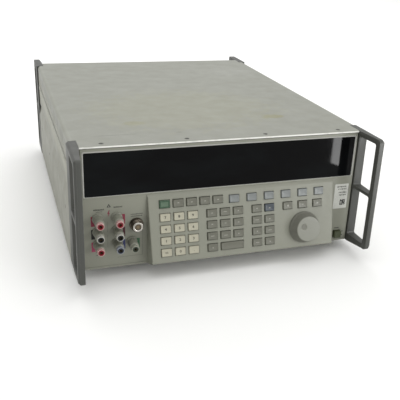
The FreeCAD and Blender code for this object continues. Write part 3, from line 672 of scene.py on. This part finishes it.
def mark(bm, cx, cz, y, kind, material=0):
    """A generic legend: a bar, a short bar, a triangle or a dot."""
    t = 0.08 * MM
    if kind == "bar":
        rectangle(bm, cx - 2.6 * MM, cx + 2.6 * MM, cz - 0.4 * MM, cz + 0.4 * MM, y, t, material)
    elif kind == "short":
        rectangle(bm, cx - 1.3 * MM, cx + 1.3 * MM, cz - 0.5 * MM, cz + 0.5 * MM, y, t, material)
    elif kind in ("left", "right"):
        s = -1 if kind == "left" else 1
        base = cx - s * 1.2 * MM
        points = [(cx + s * 1.8 * MM, cz), (base, cz + 1.7 * MM), (base, cz - 1.7 * MM)]
        polygon_plate(bm, points if s < 0 else points[::-1], y, t, material)
    elif kind == "dot":
        points = [
            (cx + 0.9 * MM * math.cos(a * math.pi / 6), cz + 0.9 * MM * math.sin(a * math.pi / 6))
            for a in range(12)
        ]
        polygon_plate(bm, points, y, t, material)


KEY_STYLE = {"number": "cream", "sign": "cream", "decimal": "cream", "softkey": "soft", "edit": "grey",
             "operate": "green", "mode": "grey", "unit": "grey", "enter": "grey", "reset": "blue",
             "utility": "grey"}
KEY_TEXT = {"sign_key": "+/-", "decimal_key": "."}
EDIT_MARK = {"edit_left_key": "left", "edit_field_key": "short", "edit_right_key": "right"}


def key_nodes():
    """Every node with one or more keys in it."""
    return [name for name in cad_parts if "_key" in name or name.startswith("softkey")]


def build_keys():
    """Dished key caps, one piece per key node, with generic legends."""
    pick = random.Random(11)
    for node in sorted(key_nodes()):
        style = KEY_STYLE[node.split("_")[0]]
        bm = bmesh.new()
        legends = bmesh.new()
        for part in islands(node, tilt=True):
            low, high = extent(part)
            part.free()
            key_shape(bm, low, high, low.y)
            centre = (low + high) / 2
            face = low.y + 0.34 * MM
            if style == "cream":
                text = KEY_TEXT.get(node, node[-1])
                glyph(legends, text, centre.x, centre.z, face, 5.2 * MM if len(text) == 1 else 4.0 * MM)
            elif node in EDIT_MARK:
                mark(legends, centre.x, centre.z, face, EDIT_MARK[node])
            elif style in ("grey", "blue") and node != "enter_key":
                kind = pick.choice(["bar", "short", "dot", "short"])
                mark(legends, centre.x, centre.z + pick.uniform(-0.6, 0.6) * MM, face, kind)
        publish(node + "_cap_piece", bm, style, body=node, replaces=[node], angle=50.0,
                tilt=True)
        if legends.verts:
            ink = "ink_black" if style == "cream" else "ink_white"
            publish(node + "_legend", legends, ink, body=node, smooth=False, tilt=True)
        else:
            legends.free()


def build_operate_frame():
    """Dark green band printed around the face of the operate key."""
    low, high = extent(islands("operate_key", tilt=True)[0])
    centre = (low + high) / 2
    width, height = high.x - low.x - 1.8 * MM, high.z - low.z - 1.8 * MM
    bm = bmesh.new()
    front = low.y - 0.03 * MM
    rings = [(0.9 * MM, front + 0.25 * MM), (0.9 * MM, front), (2.3 * MM, front + 0.12 * MM),
             (2.3 * MM, front + 0.4 * MM)]
    loops = box_rings(centre.x, centre.z, width, height, 1.3 * MM, rings)
    loft(bm, loops, close_start=False, close_end=False)
    loft(bm, [loops[-1], loops[0]], close_start=False, close_end=False)
    publish("operate_key_band", bm, "green_rim", body="operate_key", tilt=True)


# ================================================================ knob and power button
def build_knob():
    """Spin knob: fluted grip skirt, smooth face with a finger dimple."""
    low, high = extent(islands("edit_knob", tilt=True)[0])
    cx, cz = (low.x + high.x) / 2, (low.z + high.z) / 2
    back = FACE_Y - 0.8 * MM
    front = low.y
    outer = (high.x - low.x) / 2
    face_r = 18.7 * MM

    grip = bmesh.new()
    flutes = 72

    def groove(angle, y, radius):
        inside = back - 2.2 * MM > y > front + 1.4 * MM
        return -0.28 * MM * (0.5 - 0.5 * math.cos(flutes * angle)) if inside else 0.0

    profile = [(outer - 3 * MM, back), (outer - 0.5 * MM, back), (outer, back - 0.5 * MM),
               (outer, back - 1.6 * MM), (outer - 0.5 * MM, back - 2.0 * MM)]
    steps = 8
    start_r, start_y = outer - 0.9 * MM, back - 2.3 * MM
    for step in range(steps + 1):
        t = step / steps
        profile.append((start_r + (face_r - start_r) * t, start_y + (front + 1.5 * MM - start_y) * t))
    profile.append((face_r - 0.4 * MM, front + 1.2 * MM))
    profile.append((face_r - 2 * MM, front + 1.1 * MM))
    lathe(grip, cx, cz, profile, segments=flutes * 6, wobble=groove)
    publish("edit_knob_grip", grip, "grip", body="edit_knob", replaces=["edit_knob"],
            angle=60, tilt=True)

    face = bmesh.new()
    rim = [(face_r - 1.5 * MM, front + 2.2 * MM), (face_r - 0.1 * MM, front + 1.6 * MM)]
    rim += arc(face_r - 1.0 * MM, front + 1.0 * MM, 0.9 * MM, 0, 90, 5)
    radii = [face_r - 1.0 * MM - (face_r - 1.2 * MM) * step / 40 for step in range(1, 41)]
    rows = lathe(face, cx, cz, rim + [(radius, front + 0.1 * MM) for radius in radii], segments=120)
    dimple = Vector((cx - 7.6 * MM, 0, cz + 3.6 * MM))
    reach, depth = 4.9 * MM, 2.0 * MM
    for row in rows[len(rim):]:
        for vert in row:
            away = (Vector((vert.co.x, 0, vert.co.z)) - dimple).length
            if away < reach:
                vert.co.y += depth * (1 - (away / reach) ** 2) ** 0.8
    publish("edit_knob_face", face, "knob", body="edit_knob", angle=50.0, tilt=True)


def build_power_button():
    """Square button with a rounded rim and a dished face."""
    low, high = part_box("power_button")
    centre = (low + high) / 2
    side = high.x - low.x
    front = low.y
    rings = [(0.0, FACE_Y + 6 * MM), (0.0, front + 1.2 * MM)]
    for step in range(1, 6):
        a = math.radians(90 * step / 5)
        rings.append((1.0 * MM * (1 - math.cos(a)), front + 1.2 * MM - 1.2 * MM * math.sin(a)))
    for inset, depth in ((1.8, 0.1), (2.8, 0.35), (4.0, 0.55), (5.0, 0.6)):
        rings.append((inset * MM, front + depth * MM))
    bm = bmesh.new()
    loft(bm, box_rings(centre.x, centre.z, side, side, 1.2 * MM, rings))
    publish("power_button_cap", bm, "power", body="power_button",
            replaces=["power_button"])


# ================================================================ terminals
SLEEVES = {"output_hi": "red", "output_lo": "black", "aux": "red", "sense_hi": "red", "sense_lo": "black",
           "guard": "navy", "ground": "leaf"}


def build_posts():
    """Binding posts: collar, coloured sleeve with its socket, grey clamping cap and bright nose."""
    def rib(angle, y, radius):
        on_grip = radius > 6.3 * MM and FACE_Y - 17.5 * MM < y < FACE_Y - 5.2 * MM
        return -0.3 * MM * (0.5 - 0.5 * math.cos(16 * angle)) if on_grip else 0.0

    for name, color in SLEEVES.items():
        low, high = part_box(name + "_cap")
        cx, cz = (low.x + high.x) / 2, (low.z + high.z) / 2
        nose = low.y

        collar = bmesh.new()
        profile = turned([(7.5, 0)]) + arc(6.5 * MM, FACE_Y - 2 * MM, 1.0 * MM, 0, 90) + turned([(4.0, 3)])
        lathe(collar, cx, cz, profile, segments=48)
        publish(name + "_collar", collar, "cap", replaces=["binding_post_bodies"])

        sleeve = bmesh.new()
        profile = turned([(3.95, 2.9)]) + [(3.95 * MM, SLEEVE_END + 0.5 * MM)]
        profile += arc(3.45 * MM, SLEEVE_END + 0.5 * MM, 0.5 * MM, 15, 90, 4)
        profile += [(2.4 * MM, SLEEVE_END), (2.05 * MM, SLEEVE_END + 0.5 * MM)]
        profile += turned([(2.02, 8), (0.0, 8)])
        lathe(sleeve, cx, cz, profile, segments=40)
        publish(name + "_sleeve", sleeve, color, replaces=["binding_post_bodies"])

        liner = bmesh.new()
        profile = [(2.01 * MM, FACE_Y - 9 * MM), (2.01 * MM, SLEEVE_END + 3.0 * MM),
                   (1.8 * MM, SLEEVE_END + 3.2 * MM), (1.75 * MM, FACE_Y - 9 * MM)]
        lathe(liner, cx, cz, profile, segments=32)
        publish(name + "_liner", liner, "brass")

        cap = bmesh.new()
        profile = turned([(4.2, 3.6), (5.8, 3.6), (6.4, 4.4), (6.45, 5.3), (6.45, 9), (6.45, 13), (6.45, 17)])
        profile += arc(4.6 * MM, FACE_Y - 18 * MM, 1.8 * MM, 5, 80, 6)
        profile += turned([(4.6, 20.1)])
        lathe(cap, cx, cz, profile, segments=96, wobble=rib)
        publish(name + "_cap_barrel", cap, "cap", body=name + "_cap",
                replaces=[name + "_cap"], angle=60)

        ring = bmesh.new()
        profile = turned([(4.5, 19.4), (5.05, 20.6)]) + [(5.05 * MM, nose + 0.6 * MM)]
        profile += arc(4.55 * MM, nose + 0.5 * MM, 0.5 * MM, 0, 90, 4)
        profile += [(4.2 * MM, nose + 0.05 * MM), (4.1 * MM, nose + 1.2 * MM)] + turned([(4.1, 19.4)])
        lathe(ring, cx, cz, profile, segments=48)
        publish(name + "_cap_nose", ring, "ring_" + color, body=name + "_cap")


def build_wideband():
    """Coaxial jack: flange, threaded shell, bright rim, insulator and hollow contact."""
    low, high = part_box("wideband_connector")
    cx, cz = (low.x + high.x) / 2, (low.z + high.z) / 2
    pitch = 1.06 * MM

    def thread(angle, y, radius):
        if radius < 7.3 * MM or not FACE_Y - 10.2 * MM < y < FACE_Y - 2.9 * MM:
            return 0.0
        turn = (y / pitch + angle / (2 * math.pi)) % 1.0
        return -0.55 * MM * abs(2 * turn - 1)

    shell = bmesh.new()
    profile = turned([(9.5, 0), (9.5, 1.7), (9.1, 2.2), (7.9, 2.3)])
    steps = 44
    profile += [(7.9 * MM, FACE_Y - 2.9 * MM - 7.3 * MM * step / steps) for step in range(steps + 1)]
    profile += turned([(7.4, 10.6), (6.6, 11.5)])
    profile += arc(5.9 * MM, FACE_Y - 11.4 * MM, 0.6 * MM, 20, 110, 4)
    profile += turned([(4.5, 11.6), (4.2, 11.0), (4.2, 3.5), (0.0, 3.5)])
    lathe(shell, cx, cz, profile, segments=72, wobble=thread)
    publish("wideband_shell", shell, "gunmetal", replaces=["wideband_connector"],
            angle=40)

    rim = bmesh.new()
    profile = turned([(5.2, 10.6), (7.0, 11.2)])
    profile += arc(6.4 * MM, FACE_Y - 11.38 * MM, 0.6 * MM, 10, 100, 5)
    profile += turned([(4.9, 11.9), (4.5, 11.6), (4.4, 10.6)])
    lathe(rim, cx, cz, profile, segments=72)
    publish("wideband_rim", rim, "nickel", angle=50)

    bead = bmesh.new()
    lathe(bead, cx, cz, turned([(4.15, 3), (4.15, 10.7), (3.9, 11.0), (1.6, 11.0)]), segments=40)
    publish("wideband_insulator", bead, "amber")

    pin = bmesh.new()
    profile = turned([(1.5, 4), (1.5, 10.8), (1.2, 11.2), (0.8, 11.2), (0.8, 6), (0.0, 6)])
    lathe(pin, cx, cz, profile, segments=24)
    publish("wideband_contact", pin, "brass")


# ================================================================ print on the panel
INK = 0.06 * MM
INK_Y = FACE_Y - INK


def build_prints():
    """Coloured bands beside the posts, group lines and generic symbols."""
    bands = {
        "output_hi": (-1, "ink_red"), "output_lo": (-1, "ink_black"), "aux": (-1, "ink_magenta"),
        "sense_hi": (1, "ink_red"), "sense_lo": (1, "ink_maroon"), "guard": (1, "ink_blue"),
        "ground": (1, "ink_green"),
    }
    for name, (side, ink) in bands.items():
        centre = node_centre(name + "_cap")
        near, far = centre.x + side * 3.0 * MM, centre.x + side * (9.0 if side < 0 else 11.2) * MM
        top = centre.z + 3.8 * MM
        bm = bmesh.new()
        rectangle(bm, min(near, far), max(near, far), centre.z - 10.8 * MM, top, INK_Y, INK)
        rectangle(bm, min(centre.x, near), max(centre.x, near), centre.z + 1.8 * MM, top, INK_Y, INK)
        publish(name + "_band", bm, ink, smooth=False)

    left, right = node_centre("output_hi_cap"), node_centre("sense_hi_cap")
    bottom = node_centre("guard_cap")
    jack = node_centre("wideband_connector")
    lines = bmesh.new()
    thick = 0.35 * MM
    x_line = jack.x + 8.2 * MM
    rectangle(lines, x_line, x_line + thick, bottom.z - 23 * MM, jack.z - 9 * MM, INK_Y, INK)
    rectangle(lines, bottom.x, x_line, bottom.z - 23 * MM, bottom.z - 23 * MM + thick, INK_Y, INK)
    middle = (left.x + right.x) / 2
    for z0, z1 in ((left.z - 21 * MM, left.z - 6 * MM), (left.z - 44 * MM, left.z - 25 * MM)):
        rectangle(lines, middle - thick / 2, middle + thick / 2, z0, z1, INK_Y, INK)
    publish("group_lines", lines, "ink_grey", smooth=False)

    legends = bmesh.new()
    pick = random.Random(5)
    # centre, foot, width and height of each row of generic lettering
    rows = [(left.x + 1.5 * MM, left.z + 12.0 * MM, 13, 2.0), (left.x + 1.5 * MM, left.z + 9.6 * MM, 7, 0.7),
            (right.x + 1.5 * MM, right.z + 14.0 * MM, 11, 2.0), (jack.x, jack.z + 14.5 * MM, 15, 1.3),
            (jack.x, jack.z + 11.5 * MM, 15, 1.3), (left.x + 1 * MM, bottom.z - 17 * MM, 9, 1.2)]
    for cx, cz, width, height in rows:
        x = cx - width / 2 * MM
        while x < cx + width / 2 * MM:
            step = pick.uniform(0.6, 1.2) * MM
            tall = pick.uniform(0.75, 1.0) * height * MM
            rectangle(legends, x, x + step, cz, cz + tall, INK_Y, INK)
            x += step + 0.5 * MM
    publish("terminal_legends", legends, "ink_black", smooth=False)

    hazard = bmesh.new()
    hx, hz = middle + 2.4 * MM, left.z + 15.5 * MM
    size = 5.6 * MM
    outer = [(hx - size / 2, hz), (hx + size / 2, hz), (hx, hz + size * 0.88)]
    sill = hz + size * 0.14
    inner = [(hx - size * 0.24, sill), (hx + size * 0.24, sill), (hx, hz + size * 0.56)]
    for index in range(3):
        j = (index + 1) % 3
        polygon_plate(hazard, [outer[index], outer[j], inner[j], inner[index]], INK_Y, INK)
    publish("caution_triangle", hazard, "ink_black", smooth=False)

    flash = bmesh.new()
    fx, fz = middle + 2.0 * MM, left.z + 1.5 * MM
    shape = [(0.4, 9.5), (-2.0, 4.2), (-0.2, 4.6), (-1.0, 0.0), (1.9, 5.8), (0.1, 5.3), (1.6, 9.5)]
    polygon_plate(flash, [(fx + x * MM, fz + z * MM) for x, z in shape], INK_Y, INK)
    publish("flash_mark", flash, "ink_red", smooth=False)


def build_sticker():
    """Asset sticker with generic bars and a random block pattern, and the marks by the power button."""
    button = node_centre("power_button")
    cx, cz = button.x - 0.5 * MM, button.z + 63 * MM
    width, height = 23 * MM, 40 * MM
    bm = bmesh.new()
    rings = [(0.0, FACE_Y), (0.0, FACE_Y - 0.10 * MM), (0.1 * MM, FACE_Y - 0.14 * MM)]
    loft(bm, box_rings(cx, cz, width, height, 1.2 * MM, rings))
    publish("asset_sticker", bm, "sticker")
    ink = bmesh.new()
    pick = random.Random(3)
    y = FACE_Y - 0.19 * MM
    for up, start, tall in ((14.0, -8.0, 2.8), (10.6, -5.5, 2.0), (4.6, -4.0, 2.8), (0.8, -3.0, 2.2)):
        x = cx + start * MM
        while x < cx + 8 * MM:
            step = pick.uniform(0.7, 1.5) * MM
            low_end = cz + (up + pick.uniform(0.0, 0.35) * tall) * MM
            rectangle(ink, x, min(x + step, cx + 8.5 * MM), low_end, cz + (up + tall) * MM, y, 0.05 * MM)
            x += step + pick.uniform(0.5, 1.2) * MM
    cell = 1.15 * MM
    for column in range(8):
        for row in range(8):
            if pick.random() < 0.7:
                x = cx - 0.6 * MM + column * cell
                z = cz - 14.5 * MM + row * cell
                rectangle(ink, x, x + cell * 0.92, z, z + cell * 0.92, y, 0.05 * MM)
    publish("sticker_pattern", ink, "ink_black", smooth=False)
    marks = bmesh.new()
    for dz in (-3.2, 3.2):
        mark(marks, button.x + 9.6 * MM, button.z + dz * MM, INK_Y, "dot")
    foot = button.z + 9.6 * MM
    rectangle(marks, button.x - 5 * MM, button.x + 3 * MM, foot, button.z + 10.6 * MM, INK_Y, INK)
    publish("power_marks", marks, "ink_black", smooth=False)


# ================================================================ rear
def build_rear():
    """Fan with a wire guard, and each rear connector in its own finish."""
    finish_node("fan_rotor", "dark")
    frames = islands("fan_housing")
    frames.sort(key=lambda bm: extent(bm)[1].y)
    housing, guard = frames
    middle = centre_of(guard)
    guard.free()
    soften(housing, 0.0005)
    publish("fan_frame", housing, "dark", replaces=["fan_housing"], angle=40)
    wires = bmesh.new()
    y = REAR_Y + 1.4 * MM
    for radius in (17.0, 29.0, 41.0, 53.0):
        bend = [
            [Vector((middle.x + (radius + 0.9 * math.cos(b)) * MM * math.cos(a),
                     y + 0.9 * MM * math.sin(b),
                     middle.z + (radius + 0.9 * math.cos(b)) * MM * math.sin(a)))
             for b in [math.pi * k / 5 for k in range(10)]]
            for a in [2 * math.pi * k / 72 for k in range(72)]
        ]
        loft(wires, bend + [bend[0]], close_start=False, close_end=False)
    for turn in range(4):
        a = math.radians(45 + 90 * turn)
        along = Vector((math.cos(a), 0, math.sin(a)))
        across = Vector((-math.sin(a), 0, math.cos(a)))
        spoke = []
        for distance in (16.0, 40.0, 60.0, 73.0):
            height = 1.0 if distance < 73 else 0.6
            spoke.append([
                Vector((middle.x, REAR_Y + height * MM, middle.z)) + along * distance * MM
                + (across * math.cos(b) + Vector((0, 1, 0)) * math.sin(b)) * 0.95 * MM
                for b in [math.pi * k / 5 for k in range(10)]
            ])
        loft(wires, spoke)
    publish("fan_guard_wires", wires, "steel", replaces=["fan_housing"], angle=60)

    for index, bm in enumerate(islands("rear_connectors")):
        low, high = extent(bm)
        wide = high.x - low.x
        finish = "dark" if wide > 20 * MM else "nickel"
        soften(bm, 0.0003, segments=2)
        publish("rear_connector_%d" % (index + 1), bm, finish,
                replaces=["rear_connectors"], angle=40)


# ================================================================ studio
def build_studio():
    """Pale floor, soft light and the camera."""
    bpy.ops.mesh.primitive_plane_add(size=9.0, location=(0, 0.8, 0))
    floor = bpy.context.active_object
    floor.name = "floor"
    g = Graph("pale_floor", (0.9, 0.9, 0.89, 1), roughness=0.8, specular=0.1)
    g.set("Base Color", g.mix(g.noise(2.0), (0.89, 0.89, 0.88, 1), (0.92, 0.92, 0.91, 1)))
    floor.data.materials.append(g.material)

    world = bpy.data.worlds.new("studio")
    world.use_nodes = True
    world.node_tree.nodes["Background"].inputs["Color"].default_value = (1.0, 1.0, 0.99, 1)
    world.node_tree.nodes["Background"].inputs["Strength"].default_value = 0.72
    bpy.context.scene.world = world

    def softbox(name, place, target, width, height, power):
        light = bpy.data.lights.new(name, "AREA")
        light.shape = "RECTANGLE"
        light.size, light.size_y, light.energy = width, height, power
        holder = bpy.data.objects.new(name, light)
        bpy.context.scene.collection.objects.link(holder)
        holder.location = place
        holder.rotation_euler = (Vector(target) - Vector(place)).to_track_quat("-Z", "Y").to_euler()
        return holder

    softbox("overhead", (0.25, -0.2, 2.4), (0, 0, 0.1), 3.2, 3.2, 34)
    softbox("front_fill", (1.3, -2.0, 0.7), (0, -0.2, 0.1), 1.0, 0.8, 14)
    softbox("background_wash", (-0.4, 3.4, 2.6), (-0.4, 3.8, 0), 5.0, 2.6, 90)
    # a strip beside the lens, seen only as its reflection
    card = softbox("lens_card", (0.357, -0.571, 0.172), (0.263, -0.537, 0.172), 0.036, 0.31, 1.15)
    card.visible_camera = False
    card.visible_diffuse = False

    camera = bpy.data.objects.new("camera", bpy.data.cameras.new("camera"))
    bpy.context.scene.collection.objects.link(camera)
    azimuth, down, roll = (math.radians(turn) for turn in CAMERA_TURN)
    aim = Vector((math.sin(azimuth) * math.cos(down), math.cos(azimuth) * math.cos(down), -math.sin(down)))
    right = aim.cross(Vector((0, 0, 1))).normalized()
    up = right.cross(aim)
    turned_right = right * math.cos(roll) + up * math.sin(roll)
    turned_up = -right * math.sin(roll) + up * math.cos(roll)
    axes = Matrix((turned_right, turned_up, -aim)).transposed()
    camera.matrix_world = Matrix.Translation(CAMERA_PLACE) @ axes.to_4x4()
    camera.data.sensor_width = 36.0
    camera.data.lens = CAMERA_LENS
    camera.data.shift_x, camera.data.shift_y = CAMERA_SHIFT
    bpy.context.scene.camera = camera
    bpy.context.scene.view_settings.view_transform = "Standard"


build_case()
build_lens_trim()
build_keys()
build_operate_frame()
build_knob()
build_power_button()
build_posts()
build_wideband()
build_prints()
build_sticker()
build_rear()
build_studio()
